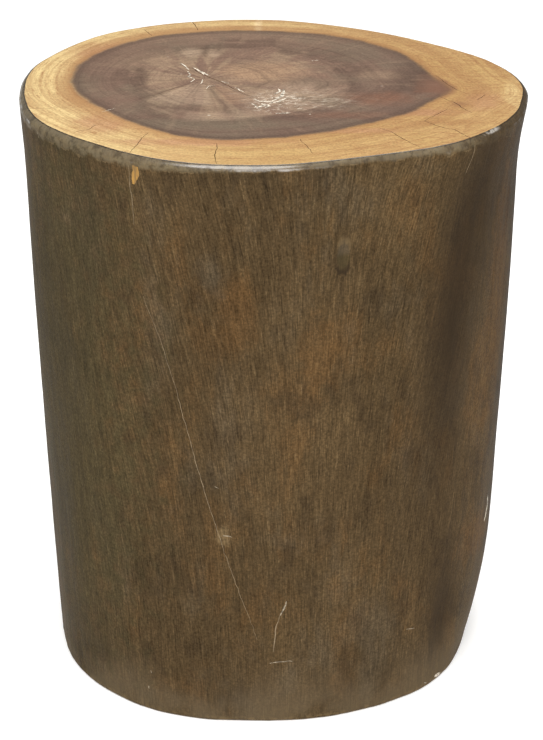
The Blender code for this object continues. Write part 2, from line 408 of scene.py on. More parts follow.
def stump_mesh(sizes):
    """One closed mesh: foot cap, side, rim and top cap, whose rings follow the growth rings."""
    rings = trunk_rings(sizes)
    pith_top = np.array((PITH.x, PITH.y, HEIGHT))
    pith_foot = np.array((PITH.x * FOOT_SHARE, PITH.y * FOOT_SHARE, 0))
    above, below = [], []
    for outer, pith, cap in ((rings[-1], pith_top, above), (rings[0], pith_foot, below)):
        away = outer - pith
        edge = np.hypot(away[:, 0], away[:, 1])
        bearing = bearing_of(away)
        shrink = 1 if cap is above else FOOT_SHARE
        for share in cap_shares(edge, shrink * heart_radius(bearing)):
            cap.append(pith + away * share[:, None])
    order = below[::-1] + rings + above
    places = np.concatenate(order + [pith_foot[None], pith_top[None]])
    count = len(order)
    ring = np.arange(SEGMENTS)
    after = (ring + 1) % SEGMENTS
    faces = []
    for level in range(count - 1):
        low, high = level * SEGMENTS, (level + 1) * SEGMENTS
        faces += np.stack([low + ring, low + after, high + after, high + ring], axis=-1).tolist()
    foot_middle = count * SEGMENTS
    top_middle = foot_middle + 1
    last = (count - 1) * SEGMENTS
    faces += [(foot_middle, int(b), int(a)) for a, b in zip(ring, after)]
    faces += [(top_middle, int(last + a), int(last + b)) for a, b in zip(ring, after)]
    mesh = bpy.data.meshes.new(PIECE)
    mesh.from_pydata(places.tolist(), [], faces)
    return mesh


def ragged_line(points, seed):
    """Points every few millimetres along a line through these points, each a little off it."""
    line = []
    for start, end in zip(points, points[1:]):
        steps = max(1, round((end - start).length / LINE_STEP))
        line += [start.lerp(end, step / steps) for step in range(steps)]
    line.append(points[-1])
    return [point + Vector([noise.noise(Vector((index * 0.9, seed * 7.3, part))) for part in LINE_PARTS])
            * LINE_RAGGED for index, point in enumerate(line)]


def on_top(x, y):
    return Vector((x / 1000, y / 1000, HEIGHT))


def on_side(bearing, height):
    angle = math.radians(bearing)
    return Vector((MEAN_RADIUS * math.cos(angle), MEAN_RADIUS * math.sin(angle), height / 1000))


def add_cut(shape, line, outward, width, depth, finish, seed):
    """One wedge along a line on the wood, open outside it and pointed below it."""
    rings = []
    for index, point in enumerate(line):
        out = outward[index]
        along = line[min(index + 1, len(line) - 1)] - line[max(index - 1, 0)]
        across = along.cross(out).normalized()
        share = min(max(index / (len(line) - 1), 0.04), 0.96)
        taper = 0.25 + 0.75 * math.sin(math.pi * share) ** 0.6
        uneven = 1 + 0.4 * noise.noise(Vector((index * 0.7, seed * 3.1, 5)))
        half = width / 2 * taper * uneven
        floor = depth * (0.4 + 0.6 * taper)
        lift = floor * 0.2 + 0.0002
        top = half * (1 + lift / floor)
        corners = (point + across * top + out * lift, point - across * top + out * lift, point - out * floor)
        rings.append([shape.verts.new(corner) for corner in corners])
    faces = [shape.faces.new((one[side], one[side - 2], other[side - 2], other[side]))
             for one, other in zip(rings, rings[1:]) for side in range(3)]
    faces += [shape.faces.new(rings[0][::-1]), shape.faces.new(rings[-1])]
    for face in faces:
        face.material_index = finish


def cuts_cutter(piece, depth):
    """All drying checks, scratches and chips as one cutter, laid on the wood that they mark."""
    tree = surface(piece.data)
    shape = bmesh.new()
    up = Vector((0, 0, 1))
    top_cuts = [(width, depth * 1000, places, WALL) for width, places in CHECKS]
    top_cuts += [(width, TOP_SCRATCH_DEPTH, places, SCRATCH) for width, places in TOP_SCRATCHES]
    for seed, (width, deep, places, finish) in enumerate(top_cuts):
        line = ragged_line([on_top(*place) for place in places], seed)
        line = [Vector((point.x, point.y, HEIGHT)) for point in line]
        add_cut(shape, line, [up] * len(line), width / 1000, deep / 1000, finish, seed)
    side_cuts = [(width, WORN_DEPTH, places, WORN) for width, places in WORN_LINES]
    side_cuts += [(*scratch, SCRATCH) for scratch in SIDE_SCRATCHES] + [(*chip, BARE) for chip in BARE_CHIPS]
    for seed, (width, deep, places, finish) in enumerate(side_cuts, len(top_cuts)):
        line, outward = [], []
        for point in ragged_line([on_side(*place) for place in places], seed):
            away = Vector((point.x, point.y, 0)).normalized()
            place, normal = tree.ray_cast(away * FAR + Vector((0, 0, point.z)), -away)[:2]
            line.append(place)
            outward.append(normal)
        add_cut(shape, line, outward, width / 1000, deep / 1000, finish, seed)
    bmesh.ops.recalc_face_normals(shape, faces=shape.faces)
    mesh = bpy.data.meshes.new("cuts")
    shape.to_mesh(mesh)
    shape.free()
    cutter = bpy.data.objects.new("cuts", mesh)
    bpy.context.scene.collection.objects.link(cutter)
    return cutter


def cut_wood(piece, depth):
    """Cuts the drying checks, scratches and chips into the piece, each with its own finish inside."""
    cutter = cuts_cutter(piece, depth)
    cut = piece.modifiers.new("cuts", "BOOLEAN")
    cut.operation = "DIFFERENCE"
    cut.use_self = True
    cut.object = cutter
    graph = bpy.context.evaluated_depsgraph_get()
    mesh = bpy.data.meshes.new_from_object(piece.evaluated_get(graph))
    piece.modifiers.clear()
    old = piece.data
    piece.data = mesh
    bpy.data.meshes.remove(old)
    mesh.name = PIECE
    bpy.data.objects.remove(cutter)


# What the finishes read from the mesh

TOP, SIDE, FOOT, WALL, SCRATCH, BARE, WORN = range(7)

# Where the side, the top, the foot and the checks' walls lie on the texture, and how large a metre is on it
STRIP_START, STRIP_SCALE = (0.5, 0.004), 0.87
TOP_MIDDLE, TOP_SCALE = (0.302, 0.705), 1.48
FOOT_MIDDLE = (0.805, 0.78)
WALL_START, WALL_SCALE = (0.80, 0.46), (0.8, 4)


def read(items, name, width=1, kind=float):
    """One property of all these items, as an array with a row for each of them."""
    values = np.empty(len(items) * width, kind)
    items.foreach_get(name, values)
    return values.reshape(-1, width) if width > 1 else values


def add_vectors(mesh, name, domain, values):
    attribute = mesh.attributes.new(name, "FLOAT_VECTOR", domain)
    attribute.data.foreach_set("vector", np.asarray(values, np.float32).ravel())


def growth_values(places):
    """For each place: its share of the growth from pith to bark, its share of the inner heart, and how far
    it lies outside the heartwood, in metres."""
    shrink = 1 - (1 - FOOT_SHARE) * (1 - places[:, 2] / HEIGHT)
    away = places[:, :2] / shrink[:, None] - np.array((PITH.x, PITH.y))
    reach = np.hypot(away[:, 0], away[:, 1])
    bearing = bearing_of(away)
    heart = heart_radius(bearing)
    inner = closed_curve(INNER_OUTLINE, bearing)
    share = np.where(reach < heart, HEART_SHARE * reach / heart,
                     HEART_SHARE + (1 - HEART_SHARE) * (reach - heart) / SAPWOOD)
    return np.stack([share, reach / inner, reach - heart], axis=-1)


def hollow_shade_values(bearing, z):
    """How deep in the flute, in the hollow under it or under the right lobe each place lies, from 0 to 1, as
    the strength of the painted shade there.
    """
    up = z / HEIGHT
    middle = FLUTE_BEARING + FLUTE_TURN * up**7
    depth = hump(turn(bearing, middle), FLUTE_SPREAD) * hump(up - FLUTE_MIDDLE, FLUTE_REACH)
    for strength, middle, spread, height, rise in HOLLOWS:
        depth += strength * hump(turn(bearing, middle), spread) * hump(z - height, rise)
    return np.clip(depth, 0, 1)


def face_values(mesh):
    """Material, chart of the side in metres and texture place for each corner of each face."""
    materials = read(mesh.polygons, "material_index", kind=int)
    centres = read(mesh.polygons, "center", 3)
    thin = 1e-6
    plain = np.where(centres[:, 2] > HEIGHT - thin, TOP, np.where(centres[:, 2] < thin, FOOT, SIDE))
    materials = np.where(materials >= WALL, materials, plain)
    of_corner = np.repeat(np.arange(len(materials)), read(mesh.polygons, "loop_total", kind=int))
    corner = read(mesh.vertices, "co", 3)[read(mesh.loops, "vertex_index", kind=int)]
    middle = turn(bearing_of(centres), 270)[of_corner]
    bearing = turn(bearing_of(corner), 270)
    bearing = middle + turn(bearing, middle)
    chart = np.stack([np.radians(bearing) * MEAN_RADIUS, corner[:, 2], np.zeros(len(corner))], axis=-1)
    kind = materials[of_corner][:, None]
    strip = np.array(STRIP_START) + chart[:, :2] * STRIP_SCALE
    top_disc = np.array(TOP_MIDDLE) + corner[:, :2] * TOP_SCALE
    foot_disc = np.array(FOOT_MIDDLE) + corner[:, :2]
    wall_strip = np.array(WALL_START) + (corner[:, ::2] - (0, HEIGHT)) * WALL_SCALE
    on_disc = (kind == TOP) | ((kind == SCRATCH) & (corner[:, 2:] > HEIGHT - 0.001))
    texture = np.select([on_disc, kind == FOOT, kind == WALL], [top_disc, foot_disc, wall_strip], strip)
    return materials, chart, texture


def dress_mesh(mesh):
    """Materials, smooth shading and the values that the finishes read."""
    places = read(mesh.vertices, "co", 3)
    materials, chart, texture = face_values(mesh)
    mesh.polygons.foreach_set("material_index", materials)
    mesh.shade_smooth()
    mesh.set_sharp_from_angle(angle=math.radians(SHARP_ANGLE))
    bearing = bearing_of(places)
    add_vectors(mesh, "growth", "POINT", growth_values(places))
    add_vectors(mesh, "grain", "POINT", grain_place(bearing, places[:, 2]))
    add_vectors(mesh, "chart", "CORNER", chart)
    # Strength of the painted shade in the flute and the hollows
    hollow = mesh.attributes.new("hollow", "FLOAT", "POINT")
    hollow.data.foreach_set("value", hollow_shade_values(bearing, places[:, 2]).astype(np.float32))
    layer = mesh.uv_layers.new(name="OFBake")
    layer.data.foreach_set("uv", texture.astype(np.float32).ravel())
    mesh.update()


# Node building

class Value:
    """One output of a node. Arithmetic on it adds Math nodes, or Vector Math nodes where it is a vector."""

    def __init__(self, graph, socket):
        self.graph = graph
        self.socket = socket

    def combined(self, operation, first, second):
        maker = self.graph.vector if self.socket.type == "VECTOR" else self.graph.math
        return maker(operation, first, second)

    def __add__(self, other):
        return self.combined("ADD", self, other)

    def __sub__(self, other):
        return self.combined("SUBTRACT", self, other)

    def __rsub__(self, other):
        return self.combined("SUBTRACT", other, self)

    def __mul__(self, other):
        return self.combined("MULTIPLY", self, other)

    def __truediv__(self, other):
        return self.combined("DIVIDE", self, other)

    def scaled(self, share):
        return self.graph.scaled(self, share)

    def length(self):
        return self.graph.vector("LENGTH", self)

    def parts(self):
        """Its x, y and z."""
        return [Value(self.graph, part) for part in self.graph.node("SeparateXYZ", {0: self}).outputs]

    def ramp(self, low, high, start=0.0, end=1.0):
        """Smooth change from start to end as the value goes from low to high."""
        values = {"Value": self, "From Min": low, "From Max": high, "To Min": start, "To Max": end}
        return self.graph.out("MapRange", values, interpolation_type="SMOOTHSTEP")

    def sway(self, amount):
        """A noise, which is about a half, turned into a push of this size to either side."""
        return (self - 0.5) * amount

    def noise(self, scale, detail=2.0, roughness=0.5, distortion=0.0):
        """Noise at this place."""
        values = {"Vector": self, "Scale": scale, "Detail": detail, "Roughness": roughness,
                  "Distortion": distortion}
        return self.graph.out("TexNoise", values)

    def under(self, colour, share):
        """This colour with a share of another one laid over it."""
        return self.graph.mix(share, self, colour)

    def bump(self, strength, distance, below=None):
        """Normal of a surface that has this height, laid over the relief below it."""
        values = {"Height": self, "Strength": strength, "Distance": distance}
        if below is not None:
            values["Normal"] = below
        return self.graph.out("Bump", values, "Normal")


class Graph:
    """Adds nodes to one node tree. It takes numbers, vectors, colours, names of colours and Values."""

    def __init__(self, tree):
        self.tree = tree

    def put(self, socket, value):
        if isinstance(value, str):
            value = getattr(bpy.context.scene.stump_colours, value)
        if isinstance(value, Value):
            self.tree.links.new(value.socket, socket)
        elif socket.type == "RGBA":
            socket.default_value = (*value[:3], 1)
        else:
            socket.default_value = value

    def fill(self, node, values):
        for key, value in values.items():
            self.put(node.inputs[key], value)
        return node

    def node(self, kind, values, **settings):
        made = self.tree.nodes.new("ShaderNode" + kind)
        for name, setting in settings.items():
            setattr(made, name, setting)
        return self.fill(made, values)

    def out(self, kind, values, output=0, **settings):
        """One output of a new node."""
        return Value(self, self.node(kind, values, **settings).outputs[output])

    def outputs(self, node):
        return {socket.name: Value(self, socket) for socket in node.outputs}

    def math(self, operation, a, b=0.0):
        return self.out("Math", {0: a, 1: b}, operation=operation)

    def vector(self, operation, a, b=(0, 0, 0)):
        output = "Value" if operation == "LENGTH" else "Vector"
        return self.out("VectorMath", {0: a, 1: b}, output, operation=operation)

    def scaled(self, vector, share):
        """A vector or colour times a number."""
        return self.out("VectorMath", {0: vector, "Scale": share}, operation="SCALE")

    def mix(self, share, a, b):
        return self.out("Mix", {0: share, 6: a, 7: b}, 2, data_type="RGBA")

    def join(self, x, y, z):
        return self.out("CombineXYZ", {0: x, 1: y, 2: z})

    def place(self):
        """Where a point lies, in the piece's own metres."""
        return self.out("TexCoord", {}, "Object")

    def attribute(self, name, output="Vector"):
        return self.out("Attribute", {}, output, attribute_name=name)

    def group(self, name, values):
        return self.outputs(self.node("Group", values, node_tree=bpy.data.node_groups[name]))

    def give(self, **values):
        """Ends a node group with these outputs."""
        self.fill(self.tree.nodes.new("NodeGroupOutput"), values)
        return self.tree

    def shade(self, values):
        """Ends a material with these values of its shader."""
        self.fill(self.tree.nodes["Principled BSDF"], values)


# Sockets of the node groups that hold something else than a number
SOCKET_KINDS = {"Growth": "Vector", "Spoke": "Vector", "Place": "Vector", "Centre": "Vector",
                "Size": "Vector", "Grain": "Vector", "Colour": "Color"}


def new_group(name, inputs, outputs):
    """An empty node group with named sockets: its graph, and what it is given."""
    tree = bpy.data.node_groups.new(name, "ShaderNodeTree")
    for side, labels in (("INPUT", inputs), ("OUTPUT", outputs)):
        for label in labels:
            kind = "NodeSocket" + SOCKET_KINDS.get(label, "Float")
            tree.interface.new_socket(name=label, in_out=side, socket_type=kind)
    graph = Graph(tree)
    return graph, graph.outputs(tree.nodes.new("NodeGroupInput"))


def growth_group():
    """Growth rings, rays and wedges, in any cut across the trunk."""
    graph, given = new_group("Growth rings", ("Growth", "Spoke", "Rings", "Run"),
                             ("Line", "Band", "Ray", "Wedge", "Split"))
    share = given["Growth"].parts()[0]
    wobble = given["Spoke"].scaled(11).noise(1, 3, 0.6)
    age = share + wobble.sway(0.03)
    rings = age * given["Rings"]
    direction = graph.vector("NORMALIZE", given["Spoke"])

    def round_pith(radius, rise):
        return direction.scaled(radius) + graph.join(0, 0, rise)

    fine = round_pith(given["Run"], rings).noise(1, 3, 0.65)
    broad = round_pith(0.6, rings * 0.22).noise(1, 2)
    ray = round_pith(17, age * 5).noise(1, 3, 0.65, 0.3)
    bent = round_pith(2.3, wobble * 0.9)
    edge = graph.out("TexVoronoi", {"Vector": bent, "Scale": 1.0}, "Distance", feature="DISTANCE_TO_EDGE")
    wedge = (bent + graph.join(0, 0, age * 1.6)).noise(1.25, 3, 0.6)
    return graph.give(Line=fine.ramp(0.45, 0.68), Band=broad, Ray=ray.ramp(0.5, 0.74),
                      Wedge=wedge.ramp(0.40, 0.60), Split=edge.ramp(0.06, 0.0))


def spot_group():
    """Soft, uneven spot round a place: 1 in its middle and 0 outside it."""
    graph, given = new_group("Soft spot", ("Place", "Centre", "Size", "Uneven"), ("Mask",))
    away = (given["Place"] - given["Centre"]) / given["Size"]
    return graph.give(Mask=(away.length() + given["Uneven"]).ramp(1.1, 0.3))


def wedge_group():
    """Part of a ring round the pith: 1 between two angles in degrees and two radii in metres."""
    graph, given = new_group("Wedge", ("Angle", "Radius", "From", "To", "Inner", "Outer"), ("Mask",))

    def between(value, low, high, softness):
        past_low, past_high = [value.ramp(edge - softness, edge + softness) for edge in (low, high)]
        return past_low * (1 - past_high)

    across = between(given["Angle"], given["From"], given["To"], 2)
    return graph.give(Mask=across * between(given["Radius"], given["Inner"], given["Outer"], 0.005))


def fibre_group():
    """Short fibres that lie along the grain, as a tone about 1, with separate dark and pale streaks."""
    graph, given = new_group("Fibres", ("Grain", "Fineness", "Length"), ("Tone", "Dark", "Pale", "Height"))
    x, y, z = given["Grain"].parts()
    stretched = graph.join(x, y, z / given["Length"])
    fine = stretched.noise(given["Fineness"], 3, 0.7, 0.2)
    other = (stretched + (3.1, 1.7, 2.3)).noise(given["Fineness"], 3, 0.7, 0.2)
    broad = stretched.noise(given["Fineness"] * 0.2, 3, 0.6, 0.3)
    return graph.give(Tone=fine.ramp(0.3, 0.7, 0.70, 1.30) * broad.ramp(0.3, 0.7, 0.90, 1.10),
                      Dark=fine.ramp(0.42, 0.28), Pale=other.ramp(0.52, 0.76),
                      Height=fine * 0.65 + other * 0.35)


def speck_group():
    """Small round specks, such as pores and dust, scattered evenly."""
    graph, given = new_group("Specks", ("Place", "Scale", "Share"), ("Mask",))
    values = {"Vector": given["Place"], "Scale": given["Scale"], "Randomness": 1.0}
    cells = graph.outputs(graph.node("TexVoronoi", values))
    chosen = graph.math("LESS_THAN", cells["Color"].parts()[0], given["Share"])
    return graph.give(Mask=chosen * cells["Distance"].ramp(0.32, 0.12))


def stain_group():
    """Colour and relief of the stained wood, from its grain."""
    graph, given = new_group("Stain", ("Grain", "Place"), ("Colour", "Shade", "Height"))
    fibre = graph.group("Fibres", {"Grain": given["Grain"], "Fineness": 1080.0, "Length": 16.0})
    tall = given["Place"] * (1, 1, 0.5)
    patch = tall.noise(12, 3, 0.6, 0.4)
    warm = (tall + (1, 4, 2)).noise(30, 4, 0.65, 0.4)
    cool = (tall + (5, 2, 1)).noise(22, 4, 0.65, 0.3)
    olive = (tall + (2, 7, 3)).noise(55, 3, 0.6, 0.3)
    grit = given["Place"].noise(520, 3, 0.75)
    colour = graph.mix(warm.ramp(0.48, 0.68, 0, 0.44), "stain", "stain_rust")
    colour = colour.under("stain_grey", cool.ramp(0.50, 0.74, 0, 0.42))
    colour = colour.under("dark_stain_and_shade", olive.ramp(0.50, 0.30, 0, 0.40))
    colour = colour.under("dark_stain_and_shade", fibre["Dark"] * 0.34)
    colour = colour.under("worn_stain_and_highlight", fibre["Pale"] * 0.36)
    shade = fibre["Tone"] * patch.ramp(0.3, 0.7, 0.86, 1.14) * grit.ramp(0.25, 0.75, 0.64, 1.36)
    return graph.give(Colour=colour.scaled(shade), Shade=shade, Height=fibre["Height"])


def spot_masks(graph, place, uneven, centred):
    """A function that gives the mask of one soft spot, from its middle and its half sizes in millimetres."""
    def mask(middle, halves):
        values = {"Place": place, "Centre": centred(middle), "Uneven": uneven,
                  "Size": (halves[0] / 1000, halves[1] / 1000, 1)}
        return graph.group("Soft spot", values)["Mask"]
    return mask


# Soft spots of the top: middle and half sizes in millimetres, colour and strength
HEART_SPOTS = (
    ((-12, 36), (42, 36), "heart_warm", 0.80),
    ((-98, 66), (34, 36), "heart_pale", 0.40),
    ((-84, 14), (18, 26), "heart_pale", 0.65),
    ((-64, 88), (10, 15), "heart_light", 0.65),
    ((-46, 83), (7, 13), "heart_light", 0.60),
    ((-22, 107), (34, 9), "heart_line", 0.50),
    ((20, -28), (50, 40), "heart_light", 0.60),
    ((44, -36), (18, 14), "heart_olive", 0.60),
    ((-101, 18), (8, 46), "heart_line", 0.60),
    ((78, -30), (40, 22), "heart_red", 0.75),
    ((56, -70), (46, 11), "heart_red", 0.45),
    ((84, 28), (24, 16), "heart_pale", 0.50),
    ((107, 16), (22, 50), "heart_line", 0.58),
    ((-150, -8), (24, 60), "heart_olive", 0.55),
    ((-60, -92), (76, 18), "heart_olive", 0.65),
    ((129, -6), (17, 22), "heart_red", 0.42),
)
SAP_SPOTS = (
    ((-134, 88), (28, 34), "sap_rose", 0.75),
    ((-126, -90), (24, 28), "sap_rose", 0.75),
    ((-50, -132), (70, 12), "sap_rose", 0.80),
    ((112, -64), (34, 11), "sap_rose", 0.85),
    ((132, -88), (30, 10), "sap_line", 0.55),
    ((156, -34), (16, 34), "sap_rose", 0.70),
    ((56, -106), (46, 8), "sap_rose", 0.75),
    ((138, -45), (9, 10), "heart_red", 0.70),
    ((182, -30), (10, 56), "sap_outer", 0.60),
    ((-170, 10), (22, 80), "sap_outer", 0.60),
    ((-12, 166), (4.6, 30), "filler", 0.90),
)
# The hazy tip of the heart, the brushed wax and the dust on it: middle and half sizes in millimetres
TIP_HAZE = ((124, 0), (22, 34))
BRUSHED = ((22, -34), (50, 34))
DUSTY = ((2, -38), (26, 34))

# Wedges of the heart, as bearings and radii in millimetres round the pith, colour and strength
WEDGES = (
    ((233, 276), (16, 65), "heart_light", 0.50),
    ((286, 306), (22, 66), "heart_warm", 0.40),
    ((262, 302), (83, 103), "heart_light", 0.30),
    ((225.5, 229), (14, 72), "heart_line", 0.50),
    ((281, 285), (26, 92), "heart_line", 0.40),
    ((235, 284), (74, 79), "heart_line", 0.50),
    ((89, 92), (58, 88), "heart_line", 0.50),
)


def top_values(graph, ring_count):
    """What the colours of the top share: places on it, noises and growth rings."""
    top = SimpleNamespace()
    top.x, top.y = graph.place().parts()[:2]
    flat = top.flat = graph.join(top.x, top.y, 0.0)
    top.spoke = flat - tuple(PITH)
    growth = graph.attribute("growth")
    top.core, top.outside = growth.parts()[1:]

    def grown(fineness, run):
        values = {"Growth": growth, "Spoke": top.spoke, "Rings": ring_count * fineness, "Run": run}
        return graph.group("Growth rings", values)

    top.rings = grown(1, 0.5)
    top.fine = grown(3.3, 2.6)
    top.mottle = flat.noise(42, 4, 0.65, 0.6)
    top.cloud = flat.noise(16, 3, 0.6, 0.3)
    top.wobble = flat.noise(50, 3, 0.6)
    top.grit = flat.noise(520, 3, 0.7)
    top.dash = grown(2.2, 13.0)
    top.strokes = (flat * (1, 5.5, 1)).noise(75, 3, 0.65, 0.5)
    uneven = top.mottle.sway(1.3) + top.strokes.sway(0.7)
    top.spot = spot_masks(graph, flat, uneven,
                          lambda middle: (middle[0] / 1000, middle[1] / 1000, 0))
    return top


def spotted(colour, spot, table):
    for middle, halves, name, strength in table:
        colour = colour.under(name, spot(middle, halves) * strength)
    return colour


def sapwood(graph, top):
    """Pale sapwood, deeper on the right with painted shade there, with its rings and brown streaks."""
    line = "sap_line"
    outward = top.outside + top.mottle.sway(0.04)
    sap = graph.mix(outward.ramp(0.000, 0.028), "sap_inner", "sap_outer")
    # Darker towards the right: a deeper tone of the lobe and painted shade
    rightward = top.x - top.y * 0.5
    sap = sap.under("sap_right_and_shade", rightward.ramp(-0.13, 0.10, 0, 0.85))
    sap = sap.under("sap_inner", top.cloud.ramp(0.38, 0.68, 0, 0.40))
    sap = spotted(sap, top.spot, SAP_SPOTS)
    sap = sap.under(line, top.rings["Band"].ramp(0.45, 0.66, 0, 0.45))
    sap = sap.under(line, top.rings["Line"] * 0.42)
    sap = sap.under(line, top.fine["Line"] * top.flat.noise(60, 3, 0.6).ramp(0.35, 0.65, 0.1, 0.6))
    sap = sap.under(line, top.dash["Line"].ramp(0.50, 1.0, 0, 0.60))
    sap = sap.under(line, top.strokes.ramp(0.50, 0.62) * top.x.ramp(0.00, 0.11, 0.18, 0.60))
    sap = sap.under(line, top.fine["Ray"] * 0.14)
    sap = sap.under(line, top.mottle.ramp(0.52, 0.72, 0, 0.40))
    return sap.scaled(top.grit.ramp(0.25, 0.75, 0.78, 1.22))


def heart_zones(graph, top):
    """Dark outer heartwood round a paler middle, whose edge is frayed at the back and sharp in front."""
    inner = graph.mix(top.rings["Wedge"].ramp(0.15, 0.85), "heart_rose", "heart_pale")
    inner = inner.under("heart_dark", top.mottle.ramp(0.42, 0.72, 0, 0.60))
    outer = graph.mix(top.rings["Band"].ramp(0.3, 0.7, 0.0, 0.55), "heart_dark", "heart_rose")
    outer = outer.under("heart_line", top.cloud.ramp(0.5, 0.75, 0, 0.4))
    outer = outer.under("heart_line", top.y.ramp(-0.03, -0.09, 0, 0.30))
    outer = outer.under("heart_pale", top.y.ramp(0.07, 0.14, 0, 0.30))
    backward = top.y.ramp(-0.07, 0.0)
    frayed = (top.mottle.sway(0.45) + top.rings["Wedge"].sway(0.22)) * backward.ramp(0, 1, 0.28, 1)
    edge = top.core + frayed
    softness = backward.ramp(0, 1, 0.045, 0.20)
    heart = graph.mix(edge.ramp(1.0 - softness, softness + 1.0), inner, outer)
    return heart.under("heart_line", edge.ramp(0.94, 1.02) * edge.ramp(1.20, 1.04) * 0.40)


def heartwood(graph, top):
    """Heartwood with its zones, spots, wedges, brushed wax, rings and rays."""
    heart = heart_zones(graph, top)
    heart = heart.under("heart_olive", top.cloud.ramp(0.52, 0.36, 0, 0.45))
    heart = spotted(heart, top.spot, HEART_SPOTS)
    spoke_x, spoke_y = top.spoke.parts()[:2]
    angle = graph.math("DEGREES", graph.math("ARCTAN2", spoke_y, spoke_x)) + top.wobble.sway(7.0)
    radius = top.spoke.length() + top.mottle.sway(0.010)
    for bearings, radii, name, strength in WEDGES:
        values = {"Angle": angle, "Radius": radius, "From": turn(bearings[0], 0), "To": turn(bearings[1], 0),
                  "Inner": radii[0] / 1000, "Outer": radii[1] / 1000}
        heart = heart.under(name, graph.group("Wedge", values)["Mask"] * strength)
    swirls = (top.flat * (1, 2.8, 1)).noise(62, 4, 0.7, 1.6)
    brushed = top.spot(*BRUSHED)
    heart = heart.under("heart_olive", brushed * swirls.ramp(0.52, 0.38, 0, 0.62))
    heart = heart.under("scratch", brushed * swirls.ramp(0.52, 0.66, 0, 0.42))
    heart = heart.under("heart_dark", top.strokes.ramp(0.50, 0.38, 0, 0.40))
    heart = heart.under("heart_line", top.rings["Line"] * 0.28)
    heart = heart.under("heart_line", top.fine["Line"] * 0.20)
    heart = heart.under("heart_line", top.rings["Split"] * top.core.ramp(1.0, 0.1, 0.0, 0.26))
    heart = heart.under("heart_pale", top.fine["Ray"] * 0.24)
    heart = heart.under("heart_line", top.outside.ramp(-0.014, -0.001, 0, 0.5))
    return heart.scaled(top.grit.ramp(0.25, 0.75, 0.80, 1.20))


def polished_top(graph, ring_count):
    """Sanded and lacquered cut across the trunk."""
    top = top_values(graph, ring_count)
    sap = sapwood(graph, top)
    heart = heartwood(graph, top)
    ragged = top.outside + top.mottle.sway(0.008)
    haze = top.spot(*TIP_HAZE)
    softness = haze * 0.004
    colour = graph.mix(ragged.ramp(-0.0034 - softness, softness + 0.0034), heart, sap)
    seam = ragged.ramp(-0.0005, 0.0012) * ragged.ramp(0.011, 0.0012)
    colour = colour.under("sap_line", seam * 0.50)
    colour = colour.under("heart_red", haze * ragged.ramp(0.007, 0.002, 0, 0.55))
    dust = top.spot(*DUSTY) * top.flat.noise(240, 4, 0.75, 0.8).ramp(0.52, 0.64)
    specks = graph.group("Specks", {"Place": top.flat, "Scale": 170.0, "Share": 0.012})["Mask"]
    dust = graph.math("MAXIMUM", dust, specks * top.core.ramp(1.5, 1.1))
    relief = top.rings["Line"].bump(0.3, 0.0002)
    graph.shade({
        "Base Color": colour.under("scratch", dust * 0.45),
        "Roughness": top.mottle.ramp(0.3, 0.75, 0.34, 0.5),
        "IOR": 1.4,
        "Specular IOR Level": 0.1,
        "Normal": top.grit.bump(0.25, 0.00015, relief),
    })


# Soft spots of the side: bearing and height, half sizes in millimetres, colour and strength
SIDE_SPOTS = (
    ((258, 163), (7, 11), "worn_stain_and_highlight", 0.45),
    ((337, 112), (42, 26), "stain_rust", 0.55),
    ((339, 320), (26, 140), "stain_rust", 0.50),
    ((262, 345), (18, 34), "stain_rust", 0.55),
    ((256, 372), (14, 22), "stain_grey", 0.35),
    ((281, 310), (20, 40), "stain_rust", 0.50),
    ((225, 390), (20, 60), "stain_grey", 0.22),
    ((318, 30), (5, 16), "dark_stain_and_shade", 0.7),
    # Painted shade: the left side darker and cooler
    ((212, 240), (110, 330), "olive_stain_and_shade", 0.75),
    # Painted shade along the far right edge
    ((357, 290), (52, 340), "dark_stain_and_shade", 0.55),
)
SCUFF = ((326.5, 456.2), (12, 1.5))


def on_chart(bearing, z):
    return (math.radians(turn(bearing, 270)) * MEAN_RADIUS, z, 0)


def with_knot(graph, colour, place, chart):
    """The side's colour with the knot in it: greyed in its middle, with painted shade under its raised ring
    and a painted highlight over it.
    """
    away = (chart - on_chart(*KNOT)) / KNOT_HALVES
    knot = away.length() + place.noise(260, 2).sway(0.5)
    up = away.parts()[1]
    middle = graph.mix(up.ramp(-0.1, 0.3), "olive_stain_and_shade", "stain_grey")
    colour = colour.under(middle, knot.ramp(1.0, 0.6, 0, 0.50))
    # Painted shade under the knot's raised ring and a painted highlight over it
    outline = knot.ramp(0.60, 0.90) * knot.ramp(1.25, 0.95)
    colour = colour.under("dark_stain_and_shade", outline * up.ramp(-0.2, -0.7, 0, 0.78))
    return colour.under("worn_stain_and_highlight", outline * up.ramp(0.2, 0.8, 0, 0.30))


